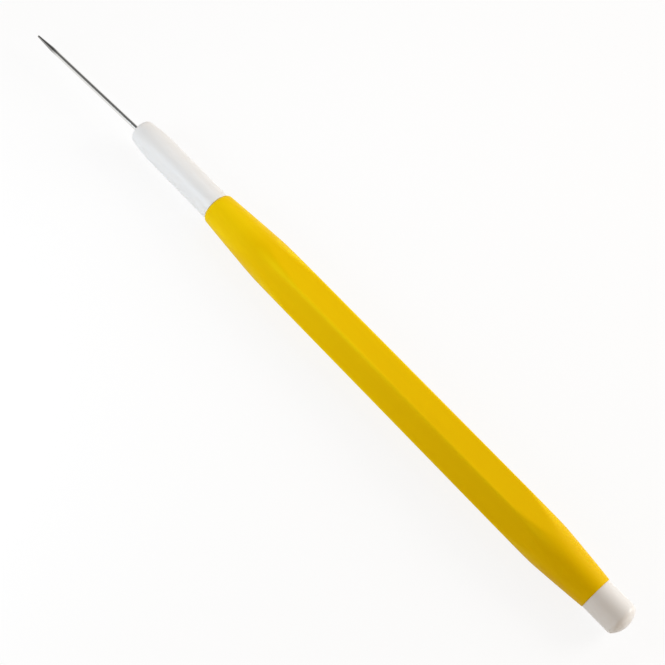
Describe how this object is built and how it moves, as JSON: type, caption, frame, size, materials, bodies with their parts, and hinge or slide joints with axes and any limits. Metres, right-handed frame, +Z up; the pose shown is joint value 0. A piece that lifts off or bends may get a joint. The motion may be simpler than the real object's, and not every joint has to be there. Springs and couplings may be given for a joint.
{
  "type": "pottery needle tool",
  "caption": "Slim hand tool for pottery: a polished steel needle in a white moulded nose, on a yellow hexagonal plastic handle with round tapered ends and a white end cap.",
  "frame": {"origin": "on the surface that the tool lies on, below the middle of its whole length and width", "axes": "+X along the handle towards the end cap, the needle points towards -X, +Z up from the handle's bottom flat"},
  "size_m": [0.18, 0.0114, 0.01],
  "materials": {
    "needle_steel": "polished",
    "white_plastic": "satin",
    "yellow_plastic": "satin"
  },
  "bodies": {
    "root": {"needle": "needle_steel", "nose": "white_plastic", "handle": "yellow_plastic", "end_cap": "white_plastic"}
  },
  "joints": []
}
